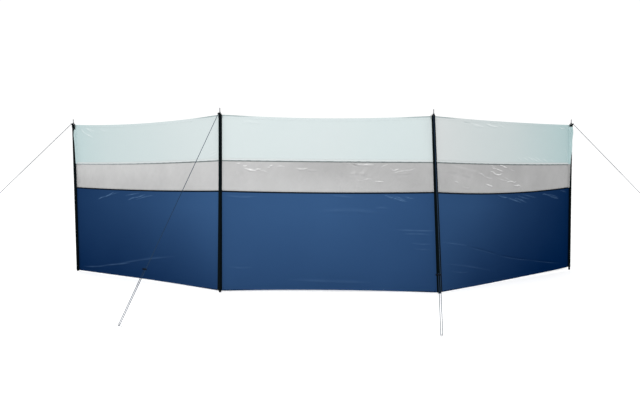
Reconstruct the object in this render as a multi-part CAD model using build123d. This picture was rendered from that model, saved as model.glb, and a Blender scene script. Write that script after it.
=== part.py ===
from build123d import *
from math import acos, atan2, ceil, cos, degrees, pi, radians, sin, sqrt, tan
import os

os.makedirs("parts", exist_ok=True)

# ---------------------------------------------------------------- the run of the screen
bay = 1750.0                  # from one pole to the next
turn_left = 27.0              # how far the left bay swings back, in degrees
turn_right = 33.0             # how far the right bay swings back
screen_top = [1400.0, 1410.0, 1395.0, 1403.0]       # top edge of the cloth at each pole
window_high = [1032.0, 1055.0, 1040.0, 1028.0]      # seam between the window and the upper panel
window_low = [803.0, 809.0, 800.0, 802.0]           # seam between the lower panel and the window
screen_low = [5.0, 10.0, 5.0, 25.0]                 # bottom edge of the cloth
pole_lean = [2.0, 18.0, -68.0, -27.0]               # how far each pole has gone over sideways
lean_at = 1400.0              # height at which that is taken
top_sag = [28.0, 22.0, 8.0]   # how far the top edge hangs in the middle of each bay
high_sag = [11.0, 2.0, 8.0]   # the same for the seam over the window
low_sag = [12.0, 10.0, 13.0]  # for the seam under it
hem_sag = [-4.0, -11.0, 9.0]  # and for the bottom edge, which two bays draw up

# ---------------------------------------------------------------- cloth
cloth_t = 1.2                 # coated polyester, doubled at the seams
film_t = 0.8                  # clear window film
hem_t = 1.0                   # each side of the folded hem
hem_h = 24.0
hem_fold = 1.2
hem_end = 2.0                 # the hems stop this far from the sleeves
sew_gap = 0.2                 # between pieces sewn one on the other
seam_gap = 0.02               # between the film's edges and the cloth
steps = 12                    # straight stretches that follow each bay's curved edges

# ---------------------------------------------------------------- poles
pole_r = 9.5
pole_wall = 1.2
slide_gap = 0.3               # pole in its sleeve
plug_gap = 0.15               # plugs in the tube
foot_play = 0.5               # the foot is upright, and slides through the sleeve with its pole
foot_r = pole_r - foot_play
foot_h = 20.0
foot_bevel = 2.5
plug_deep = 25.0
tube_up = 4.0                 # the tube stands this far over the cloth
head_t = 3.0
head_r = pole_r
pin_r = 4.0
pin_base_r = 5.0              # thicker stretch that carries the loop and the eye
pin_base = 22.0               # where it ends, over the top of the tube
pin_tip = 2.0                 # cut end
pin_top = 48.0
plug_sides = 8                # ribbed plugs
foot_sides = 24               # the moulded foot is drawn with flats
past = 1.0                    # how far a cutter or a plug runs past a face

# ---------------------------------------------------------------- sleeves and loops
sleeve_t = 1.0
sleeve_half_low = 20.5        # half the width of the sleeve strip at the ground
sleeve_half_top = 13.0        # and at the top
loop_w = 18.0
loop_t = 2.0
loop_leg = 26.0               # how far each leg runs down from the top edge

# ---------------------------------------------------------------- guys
guy_r = 2.0
cord_sides = 6                # cords and pegs are drawn with flat sides
peg_sides = 8
bend_step = 30.0              # and their bends in straight stretches of about this turn
eye_gap = 0.3
eye_short = 2.0               # the eye's two ends stop this far short of the knot's middle
knot_r = 5.4
knot_rings = [(-0.9, 0.5), (-0.4, 1.0), (0.4, 1.0), (0.9, 0.5)]   # along and out, in shares of its radius
knot_bite = 1.2               # the line starts this far past the knot's middle
stop_r = 4.2                  # knot that ends the line behind the runner
stop_gap = 0.02
knot_out = 18.0               # knot of the eye, out from the pole's middle
peg_r = 3.0
peg_long = 200.0
peg_point = 14.0
peg_rise = 48.0               # slope of the driven peg, in degrees
peg_hold = 22.0               # height at which the loop lies round the peg
peg_play = 0.8
peg_neck = 8.0                # from the loop up to the hook's bend
hook_r = 9.0
hook_end = 12.0
loop_half = peg_r + guy_r + peg_play
runner_at = 0.78              # where the runner sits on the guy, from the top
runner_t = 6.0
runner_w = 13.0
runner_corner = 3.5           # its cut corners
runner_pitch = 2 * loop_half
hole_sides = 12
guy_ground = [(-1285.0, -400.0), (-420.0, -905.0), (-207.0, -1047.0), (1155.0, -400.0)]   # from each pole

poles = ["left_end", "left_inner", "right_inner", "right_end"]
bays = ["left", "middle", "right"]
up = Vector(0, 0, 1)


def flat(angle, length=1.0):
    return Vector(cos(radians(angle)), sin(radians(angle)), 0) * length


feet = [flat(180 - turn_left, bay), Vector(0, 0, 0), Vector(bay, 0, 0),
        Vector(bay, 0, 0) + flat(turn_right, bay)]
facing = [-turn_left, -turn_left / 2, turn_right / 2, turn_right]       # along the run at each pole
run = [-turn_left, 0.0, turn_right]                                     # along each bay
tunnel_r = pole_r + slide_gap
tube_top = [top + tube_up for top in screen_top]


def middle(i, z):
    return feet[i] + Vector(pole_lean[i] * z / lean_at, 0, z)


def front(i, z):
    """The crease of the cloth's camera-side face behind pole i."""
    return middle(i, z) + flat(facing[i] + 90, tunnel_r + sew_gap)


def strip_half(z):
    return sleeve_half_low + (sleeve_half_top - sleeve_half_low) * z / lean_at


def save(shape, name):
    solid = shape if isinstance(shape, Solid) else shape.solids()[0]
    export_step(solid, os.path.join("parts", name + ".step"))


def face_of(*points):
    return Face(Wire.make_polygon(list(points)))


# ---------------------------------------------------------------- poles, feet and pins
def outline(radius, plane, sides=0):
    """A circle, or a polygon within it, on a plane."""
    if not sides:
        return Wire.make_circle(radius, plane)
    corners = [flat(360 * k / sides, radius) for k in range(sides)]
    return Wire.make_polygon([plane.from_local_coords(corner) for corner in corners])


def slanted(i, radius, z0, z1, sides=0):
    """A bar that follows pole i's lean between two level ends."""
    return Solid.extrude(Face(outline(radius, Plane(middle(i, z0)), sides)), middle(i, z1) - middle(i, z0))


def turned(*corners):
    """A solid of revolution about Z from its half outline."""
    return revolve(Plane.XZ * make_face(Polyline(*corners, close=True)), Axis.Z)


bore_r = pole_r - pole_wall
for i, name in enumerate(poles):
    tube = slanted(i, pole_r, foot_h, tube_top[i]) - slanted(i, bore_r, foot_h - past, tube_top[i] + past)
    save(tube, name + "_pole")

    stand = Plane(middle(i, foot_h) - up * foot_h)
    cap = extrude(stand * RegularPolygon(foot_r, foot_sides), foot_h)
    cap = chamfer(cap.faces().sort_by(Axis.Z)[0].edges(), foot_bevel)
    foot = cap + slanted(i, bore_r - plug_gap, foot_h - past, foot_h + plug_deep, plug_sides)
    save(foot, name + "_foot")

    post = turned((0, 0), (head_r, 0), (head_r, head_t), (pin_base_r, head_t), (pin_base_r, pin_base),
                  (pin_r, pin_base), (pin_r, pin_top - pin_tip), (pin_r / 2, pin_top), (0, pin_top))
    plug = slanted(i, bore_r - plug_gap, tube_top[i] - plug_deep, tube_top[i] + past, plug_sides)
    save(Pos(*middle(i, tube_top[i])) * post + plug, name + "_pin")


# ---------------------------------------------------------------- the three cloth bands of each bay
def along(b, z, u):
    start, end = front(b, z), front(b + 1, z)
    return start + (end - start) * u


def section(b, u, z0, z1, out, back):
    """The corners of one upright slice: low in front, low behind, high behind, high in front."""
    normal = flat(run[b] + 90)
    tie = normal
    first, last = u == 0, u == 1
    pole = b if first else b + 1
    inner = (first and b > 0) or (last and b < 2)
    if (first or last) and inner:
        half = radians(abs(facing[pole] - run[b]))
        tie = flat(facing[pole] + 90) / cos(half)

    def at(z):
        point = along(b, z, u)
        if (first or last) and not inner:
            point = point + flat(run[b], strip_half(z)) * (-1 if first else 1)
        return point

    return [at(z0) - tie * out, at(z0) + tie * back, at(z1) + tie * back, at(z1) - tie * out]


def level(heights, sags):
    """The height of an edge along a bay, as a function of the bay and the share of its length."""
    return lambda b, u: heights[b] + (heights[b + 1] - heights[b]) * u - sags[b] * 4 * u * (1 - u)


def moved(edge, by):
    return lambda b, u: edge(b, u) + by


def band(b, low, high, out, back, inset=0.0):
    """A strip of cloth in flat facets, split along the same diagonal in front and behind."""
    places = [inset] + [k / steps for k in range(1, steps)] + [1 - inset]
    slices = [section(b, u, low(b, u), high(b, u), out, back) for u in places]
    faces = [face_of(*reversed(slices[0])), face_of(*slices[-1])]
    for near, far in zip(slices, slices[1:]):
        sides = [(near[3], near[0], far[0], far[3]), (near[2], far[2], far[1], near[1]),
                 (near[0], near[1], far[1], far[0]), (near[3], far[3], far[2], near[2])]
        for a, c, d, e in sides:
            faces += [face_of(a, c, d), face_of(a, d, e)]
    return Solid(Shell(faces))


top_edge, high_seam = level(screen_top, top_sag), level(window_high, high_sag)
low_seam, bottom_edge = level(window_low, low_sag), level(screen_low, hem_sag)
for b, name in enumerate(bays):
    upper = band(b, high_seam, top_edge, 0, cloth_t)
    film = band(b, moved(low_seam, seam_gap), moved(high_seam, -seam_gap), 0, film_t)
    lower = band(b, bottom_edge, low_seam, 0, cloth_t)
    save(upper, name + "_upper_panel")
    save(film, name + "_window")
    save(lower, name + "_lower_panel")

    top_hem = band(b, moved(top_edge, -hem_h), moved(top_edge, hem_fold), hem_t, cloth_t + hem_t,
                   (sleeve_half_top + hem_end) / bay) - upper
    low_hem = band(b, moved(bottom_edge, -hem_fold), moved(bottom_edge, hem_h), hem_t, cloth_t + hem_t,
                   (sleeve_half_low + hem_end) / bay) - lower
    save(top_hem, name + "_top_hem")
    save(low_hem, name + "_bottom_hem")


# ---------------------------------------------------------------- sleeves and their top loops
def pocket(i, z):
    """The open tunnel of a pole sleeve with its two sewn edges, level at height z."""
    side = flat(facing[i])
    away = flat(facing[i] + 90)
    root = middle(i, z)
    half = strip_half(z)
    seam = root + away * tunnel_r
    left = (along(i - 1, z, 0.5) - front(i, z)).normalized() if i > 0 else flat(facing[i] + 180)
    right = (along(i, z, 0.5) - front(i, z)).normalized() if i < 3 else flat(facing[i])
    outer_r = tunnel_r + sleeve_t

    def edge(way, reach, lift=0.0):
        return seam + way * (reach / abs(way.dot(side))) - away * lift

    spots = [edge(right, half), edge(right, half, sleeve_t), edge(right, outer_r, sleeve_t),
             root + side * outer_r, root - away * outer_r, root - side * outer_r,
             edge(left, outer_r, sleeve_t), edge(left, half, sleeve_t), edge(left, half),
             edge(left, tunnel_r), root - side * tunnel_r, root - away * tunnel_r,
             root + side * tunnel_r, edge(right, tunnel_r)]
    lines = [Edge.make_line(spots[0], spots[1]), Edge.make_line(spots[1], spots[2]),
             Edge.make_line(spots[2], spots[3]),
             Edge.make_three_point_arc(spots[3], spots[4], spots[5]),
             Edge.make_line(spots[5], spots[6]), Edge.make_line(spots[6], spots[7]),
             Edge.make_line(spots[7], spots[8]), Edge.make_line(spots[8], spots[9]),
             Edge.make_line(spots[9], spots[10]),
             Edge.make_three_point_arc(spots[10], spots[11], spots[12]),
             Edge.make_line(spots[12], spots[13]), Edge.make_line(spots[13], spots[0])]
    return Wire(lines)


for i, name in enumerate(poles):
    sleeve = Solid.make_loft([pocket(i, screen_low[i]), pocket(i, screen_top[i])], True)
    save(sleeve, name + "_sleeve")

    half_turn = radians(abs(facing[i] - run[min(i, 2)]) if 0 < i < 3 else 0.0)
    seat = tube_top[i] + head_t
    foot_z = screen_top[i] - loop_leg
    drift = abs(pole_lean[i] * sin(radians(facing[i]))) * (seat - foot_z) / lean_at
    near = tunnel_r + sleeve_t + sew_gap + drift
    far = tunnel_r + 2 * sew_gap + cloth_t / cos(half_turn) + loop_w / 2 * tan(half_turn) + drift
    arch = make_face(Polyline([
        (-near, foot_z), (-near - loop_t, foot_z), (-near - loop_t, seat + loop_t),
        (far + loop_t, seat + loop_t), (far + loop_t, foot_z), (far, foot_z), (far, seat),
        (-near, seat), (-near, foot_z)]))
    strap = extrude(Plane.YZ * arch, amount=loop_w / 2, both=True)
    strap -= Pos(0, 0, seat) * Cylinder(pin_base_r + slide_gap, 2 * loop_leg)
    top = middle(i, seat)
    strap = Pos(top.X, top.Y, 0) * Rot(0, 0, facing[i]) * strap
    save(strap, name + "_loop")


# ---------------------------------------------------------------- guys, runners and pegs
def rod(start, end, radius, sides, x_way=None):
    plane = Plane(origin=start, x_dir=x_way, z_dir=end - start)
    return Solid.extrude(Face(outline(radius, plane, sides)), end - start)


def bend(start, centre, axis, angle, radius, sides):
    """A bar bent about an axis through centre, from start."""
    count = ceil(angle / bend_step)
    spokes = [(start - centre).rotate(Axis(centre, axis), angle * k / count) for k in range(count + 1)]
    planes = [Plane(origin=centre + spoke, x_dir=spoke, z_dir=axis.cross(spoke)) for spoke in spokes]
    return Solid.make_loft([outline(radius, plane, sides) for plane in planes], True)


def knob(middle_at, way, radius):
    """A tight knot, as a many-sided barrel along the cord."""
    return Solid.make_loft([outline(radius * r, Plane(origin=middle_at + way * radius * z, z_dir=way),
                                    peg_sides) for z, r in knot_rings], True)


def joined(first, *others):
    whole = first.fuse(*others)
    return whole if isinstance(whole, Solid) else whole.solids()[0]


for i, name in enumerate(poles):
    eye_z = tube_top[i] + head_t + loop_t + knot_r + sew_gap
    axis = middle(i, tube_top[i])
    axis = Vector(axis.X, axis.Y, eye_z)
    ground = feet[i] + Vector(guy_ground[i][0], guy_ground[i][1], peg_hold)
    out = Vector(ground.X - axis.X, ground.Y - axis.Y, 0).normalized()
    knot = axis + out * knot_out
    pull = (ground - knot).normalized()
    across = up.cross(pull).normalized()
    hold = ground - across * loop_half

    # the eye round the pin
    side = up.cross(out)
    eye_r = pin_base_r + guy_r + eye_gap
    reach, half_gap = knot_out - eye_short, guy_r + eye_gap
    lean_in = atan2(half_gap, reach)
    touch = lean_in + acos(eye_r / sqrt(reach ** 2 + half_gap ** 2))
    ends = [axis + out * reach + side * half_gap * s for s in (1, -1)]
    rounds = [axis + (out * cos(touch) + side * sin(touch) * s) * eye_r for s in (1, -1)]
    eye = [rod(ends[0], rounds[0], guy_r, cord_sides, rounds[0] - axis),
           rod(ends[1], rounds[1], guy_r, cord_sides, rounds[1] - axis),
           bend(rounds[0], axis, up, 360 - 2 * degrees(touch), guy_r, cord_sides)]

    # the line down to the peg, round it and back up through the runner
    mid = knot + (ground - knot) * runner_at
    end = mid - across * runner_pitch - pull * (runner_t / 2 + stop_r * knot_rings[-1][0] + stop_gap)
    other = ground - across * runner_pitch
    line = [rod(knot + pull * knot_bite, ground, guy_r, cord_sides, across),
            rod(end, other, guy_r, cord_sides, across),
            bend(ground, hold, across.cross(pull), 180, guy_r, cord_sides)]
    knots = [knob(knot, pull, knot_r), knob(end, pull, stop_r)]
    guy = joined(*line, *eye, *knots)
    save(guy, name + "_guy")
    length = (ground - knot).length + (other - end).length + pi * loop_half
    print(name, "guy", round(guy.volume), "of", round(length * pi * guy_r ** 2), guy.is_valid)

    bar_long = 2 * runner_pitch + runner_w
    frame = Plane(origin=mid - across * runner_pitch, x_dir=across, z_dir=pull)
    plate = chamfer(Rectangle(bar_long, runner_w).vertices(), runner_corner)
    bar = extrude(frame * plate, amount=runner_t / 2, both=True)
    for k in (-1, 0, 1):
        hole = frame * Pos(k * runner_pitch, 0, 0) * RegularPolygon(guy_r + slide_gap, hole_sides)
        bar -= extrude(hole, amount=runner_t, both=True)
    save(bar, name + "_runner")

    # the driven peg with its hook turned outwards
    shaft = out * cos(radians(peg_rise)) + up * sin(radians(peg_rise))
    turn = out * sin(radians(peg_rise)) - up * cos(radians(peg_rise))
    crook = hold + shaft * peg_neck
    back = crook + turn * 2 * hook_r
    point = Plane(origin=hold - shaft * peg_long, x_dir=turn, z_dir=shaft * -1)
    peg = joined(rod(hold - shaft * peg_long, crook, peg_r, peg_sides, turn),
                 rod(back, back - shaft * hook_end, peg_r, peg_sides, turn),
                 bend(crook, crook + turn * hook_r, shaft.cross(turn), 180, peg_r, peg_sides),
                 Solid.make_loft([outline(peg_r, point, peg_sides),
                                  outline(peg_r / 5, point.offset(peg_point), peg_sides)], True))
    save(peg, name + "_peg")
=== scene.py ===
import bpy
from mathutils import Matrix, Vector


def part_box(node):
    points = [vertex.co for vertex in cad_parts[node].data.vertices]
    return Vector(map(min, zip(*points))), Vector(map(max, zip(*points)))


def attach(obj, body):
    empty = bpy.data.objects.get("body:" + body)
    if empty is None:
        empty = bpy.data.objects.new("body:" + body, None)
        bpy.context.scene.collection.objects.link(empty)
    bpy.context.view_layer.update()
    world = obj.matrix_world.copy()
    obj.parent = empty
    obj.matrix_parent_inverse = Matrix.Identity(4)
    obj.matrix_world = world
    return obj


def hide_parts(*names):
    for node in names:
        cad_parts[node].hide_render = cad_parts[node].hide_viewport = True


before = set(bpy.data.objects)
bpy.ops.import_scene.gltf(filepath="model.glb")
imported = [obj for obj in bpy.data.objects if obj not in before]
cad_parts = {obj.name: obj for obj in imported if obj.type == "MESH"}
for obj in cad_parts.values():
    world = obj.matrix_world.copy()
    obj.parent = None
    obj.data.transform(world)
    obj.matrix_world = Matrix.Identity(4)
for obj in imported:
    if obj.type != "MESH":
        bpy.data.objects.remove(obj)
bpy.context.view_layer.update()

from collections import namedtuple
from math import atan2, ceil, cos, hypot, pi, radians, sin, tan
from random import Random

import bmesh
import bpy
import numpy as np
from bpy.props import FloatProperty, FloatVectorProperty, IntProperty, PointerProperty
from mathutils import Matrix, Vector

bl_info = {
    "name": "Beach windbreak",
    "version": (1, 0, 0),
    "blender": (4, 5, 0),
    "location": "3D View > Sidebar > Windbreak",
    "description": "Dresses the frame of a four-pole beach windbreak in cloth, webbing, cord and fittings",
    "category": "Object",
}

POLES = ["left_end", "left_inner", "right_inner", "right_end"]
BAYS = ["left", "middle", "right"]
UP = Vector((0.0, 0.0, 1.0))


# ---------------------------------------------------------------- sizes and colours
def length(name, default, description):
    """A property that holds a length in metres."""
    return FloatProperty(name=name, description=description, default=default, min=0.0,
                         precision=4, unit="LENGTH", subtype="DISTANCE")


def share(name, default, description):
    """A property that holds a plain number."""
    return FloatProperty(name=name, description=description, default=default, precision=3)


def paint(name, default, description):
    """A property that holds a colour."""
    return FloatVectorProperty(name=name, description=description, default=default, size=3,
                               min=0.0, max=1.0, subtype="COLOR")


def angle(name, default, description):
    """A property that holds an angle, with its default in degrees."""
    return FloatProperty(name=name, description=description, default=radians(default), subtype="ANGLE")


class ClothSizes(bpy.types.PropertyGroup):
    """The three bands of cloth, their seams and their hems."""
    cloth: length("Cloth", 0.0011, "Thickness of the coated cloth, doubled where it is sewn")
    film: length("Film", 0.0008, "Thickness of the window film")
    behind: length("Behind the pole", 0.0100, "From a pole's middle to the face of the cloth")
    mesh_fine: length("Fine mesh", 0.0040, "Height of the mesh's rows in the upper panel and the window")
    mesh_coarse: length("Coarse mesh", 0.0062, "Height of the mesh's rows in the lower panel")
    mesh_strip: length("Strip mesh", 0.0124, "Spacing of the mesh along seams and hems")
    belly: length("Belly", 0.012, "How far the wind bellies each bay out")
    ripple: length("Ripple", 0.0011, "Height of the slow waves in the cloth")
    crinkle: length("Crinkle", 0.0005, "Height of the small waves in the window film")
    fold_width: share("Fold width", 1.2, "How wide the folds are, by their own widths")
    fold_shine: share("Fold shine", 1.4, "How brightly the folds catch the light, by their own shines")
    hem: length("Hem", 0.024, "Height of the folded hems")
    hem_cloth: length("Hem cloth", 0.0003, "Thickness of the hem's own layer")
    fold: length("Seam fold", 0.015, "Height of the fold that the upper panel is sewn on with")
    tape: length("Seam tape", 0.0118, "Height of the binding at the window's lower edge")
    # The dark bead under the upper seam is partly the seam's own dark line and partly painted shadow in its
    # gap.
    bead: length("Seam bead", 0.0086, "Height of the dark bead under the upper seam")
    stitch: length("Stitch", 0.0050, "From one stitch to the next")
    thread: length("Thread", 0.0003, "Half the thickness of the sewing thread")


class SleeveSizes(bpy.types.PropertyGroup):
    """The pole sleeves, the webbing loops and the wraps at the two ends."""
    cloth: length("Sleeve cloth", 0.0009, "Thickness of the sleeve's webbing")
    tunnel: length("Tunnel", 0.0103, "Radius of the tunnel that the pole slides into")
    half_low: length("Half width, bottom", 0.0205, "Half the sleeve's width at the bottom")
    half_top: length("Half width, top", 0.0130, "Half the sleeve's width at the top")
    slack: length("Slack", 0.0016, "Extra room in the left end's tunnel")
    rows: IntProperty(name="Rows", description="Rows of the mesh up each sleeve", default=150, min=20)
    pucker: length("Pucker", 0.0005, "How far the sewing gathers the sleeve")
    strap: length("Strap", 0.014, "Width of the webbing loop over the pole's top")
    strap_thick: length("Strap thickness", 0.0018, "Thickness of that webbing")
    wrap_start: length("Wrap start", 0.022, "From an end pole's middle to where the cloth leaves for it")
    wrap_lift: length("Wrap lift", 0.0014, "Room between a sleeve's tunnel and the cloth wrapped over it")
    bulge: length("Bulge", 0.0075, "How far the right end's wrap billows past its pole")


class CordSizes(bpy.types.PropertyGroup):
    """Guy lines, knots, runners, pegs and feet."""
    cord: length("Cord", 0.0020, "Radius of the guy line")
    knot: length("Knot", 0.0054, "Radius of the knot behind the eye")
    knot_out: length("Knot out", 0.018, "From the pin's middle to the knot")
    knot_drop: length("Knot drop", 0.008, "How far the knot hangs below the eye round the pin")
    tail: length("Tail", 0.024, "Length of the knot's free tail")
    peg: length("Peg", 0.0030, "Radius of the peg's wire")
    peg_length: length("Peg length", 0.214, "From the peg's point to where the loop lies")
    peg_neck: length("Peg neck", 0.008, "From the loop up to the hook's bend")
    hook: length("Hook", 0.009, "Radius of the peg's hook")
    hook_end: length("Hook end", 0.012, "Straight end of the hook")
    peg_rise: angle("Peg slope", 48.0, "Slope of the driven peg")
    loop: length("Loop", 0.0058, "Half the width of the loop round the peg")


class Colours(bpy.types.PropertyGroup):
    """Each band's colour where it is lit fully and where it falls off."""
    mint_lit: paint("Mint, lit", (0.451, 0.473, 0.473), "Upper panels in the middle of the screen")
    mint_deep: paint("Mint, deep", (0.312, 0.418, 0.424), "Upper panels towards the ends")
    film_lit: paint("Film, lit", (0.420, 0.421, 0.420), "Window film at its lightest")
    film_deep: paint("Film, deep", (0.254, 0.254, 0.253), "Window film at its darkest")
    navy_lit: paint("Navy, lit", (0.0240, 0.0622, 0.1440), "Lower panels in the middle of the screen")
    navy_deep: paint("Navy, deep", (0.0000, 0.0086, 0.0400), "Lower panels towards the ends")
    webbing: paint("Webbing", (0.0012, 0.0028, 0.0034), "Sleeves, loops and knots")
    cord: paint("Cord", (0.014, 0.030, 0.058), "Guy lines")
    steel: paint("Steel", (0.24, 0.24, 0.25), "Pins")
    zinc: paint("Zinc", (0.85, 0.85, 0.85), "Pegs")
    pole: paint("Pole", (0.020, 0.022, 0.024), "Powder coat of the poles")
    rubber: paint("Rubber", (0.004, 0.004, 0.0045), "Feet")
    runner: paint("Runner", (0.005, 0.006, 0.008), "Plastic runners")


class StageSettings(bpy.types.PropertyGroup):
    """The floor, the light and the camera."""
    sky: share("Sky", 1.05, "Strength of the even white light")
    key: share("Key", 260.0, "Power of the large soft light in front, in watts")
    floor: paint("Floor", (0.93, 0.93, 0.93), "Colour of the floor")
    eye: FloatVectorProperty(name="Camera", description="Where the camera stands", size=3,
                             default=(0.890, -3.900, 1.000), subtype="TRANSLATION", unit="LENGTH")
    tilt: angle("Tilt", 3.8, "How far the camera looks down")
    turn: angle("Turn", 1.297, "How far the camera looks to the left")
    lens: share("Lens", 27.92, "Focal length in millimetres")


class WindbreakSettings(bpy.types.PropertyGroup):
    """Everything that a user may change."""
    cloth: PointerProperty(type=ClothSizes)
    sleeve: PointerProperty(type=SleeveSizes)
    cord: PointerProperty(type=CordSizes)
    colour: PointerProperty(type=Colours)
    stage: PointerProperty(type=StageSettings)


def sizes():
    """The settings in use."""
    return bpy.context.scene.windbreak


# ---------------------------------------------------------------- where things stand
def flat(angle):
    """A level unit vector at an angle from +X."""
    return np.array((cos(angle), sin(angle), 0.0))


def times(amount, way):
    """A way taken by one amount, or by each of many."""
    return np.multiply.outer(amount, way)


def smooth(value):
    """0 below 0, 1 above 1, and an even turn between."""
    value = np.clip(value, 0.0, 1.0)
    return value * value * (3.0 - 2.0 * value)


def blend(start, end, part):
    """From one value to another by a share."""
    return start + (end - start) * part


def bell(x, middle, width):
    """1 at the middle, and falling away over a width to each side."""
    return np.exp(-((x - middle) / width) ** 2)


def nearest(part, count):
    """The number of the row or column that each share stands for."""
    return np.rint(part * count).astype(int)


def arc(x, y, radius, start, end, steps):
    """The points of an arc round (x, y), from one angle to another in even steps."""
    return [(x + radius * cos(a), y + radius * sin(a)) for a in np.linspace(start, end, steps + 1)]


class Pole:
    """A pole's leaning axis, read from its foot and its pin."""

    def __init__(self, index):
        self.index = index
        self.name = POLES[index]
        low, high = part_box(self.name + "_pole")
        self.low, self.top = low.z, high.z
        foot, pin = (sum(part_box(self.name + end), Vector()) / 2 for end in ("_foot", "_pin"))
        self.foot = np.array((foot.x, foot.y, self.low))
        self.head = np.array((pin.x, pin.y, self.top))
        self.sleeve_low, self.sleeve_top = (corner.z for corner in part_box(self.name + "_sleeve"))

    def axis(self, z):
        """The axis at a height."""
        return self.foot + times((z - self.low) / (self.top - self.low), self.head - self.foot)

    def face(self, angle, bend):
        """The pole faces the mean of its bays, and bend is half the turn between them."""
        self.side = flat(angle)
        self.away = flat(angle + pi / 2)
        self.bend = tan(bend)

    def crease(self, z):
        """Where the cloth passes behind the pole."""
        return self.axis(z) + self.away * sizes().cloth.behind

    def up_sleeve(self, z):
        """A height as a share of the sleeve's."""
        return (z - self.sleeve_low) / (self.sleeve_top - self.sleeve_low)

    def half(self, z):
        """Half the sleeve's width at a height."""
        return blend(sizes().sleeve.half_low, sizes().sleeve.half_top, self.up_sleeve(z))


class Crease:
    """A fold in the cloth, with the numbers that its bay's list gives."""

    def __init__(self, order, u0, z0, u1, z1, width, shine):
        self.order = order
        self.u0, self.z0 = u0 / 1000, z0 / 1000
        self.du, self.dz = u1 / 1000 - self.u0, z1 / 1000 - self.z0
        self.width = width / 1000 * sizes().cloth.fold_width
        self.shine = shine / 100 * sizes().cloth.fold_shine

    def at(self, u, z, bay_length):
        """(height, shine) at each place: a thin bowed ridge, whose shine is a painted highlight with
        painted shade on its side below.
        """
        x, dx = (u - self.u0) * bay_length, self.du * bay_length
        y, dy = z - self.z0, self.dz
        long = hypot(dx, dy)
        part = np.clip((x * dx + y * dy) / (long * long), 0.0, 1.0)
        arch = 4.0 * part * (1.0 - part)
        off = (x * dy - y * dx) / long / (self.width * (0.45 + 0.55 * arch))
        off = off + (self.order % 3 - 1) * 0.9 * arch
        end = arch ** 0.6 * (0.8 + 0.2 * np.sin(15.0 * part + self.order))
        ridge = np.exp(-2.2 * off * off) - 0.30 * np.exp(-2.0 * (off - 1.5) ** 2)
        return 0.3 * self.width * end * np.exp(-off * off), self.shine * end * ridge
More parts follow.
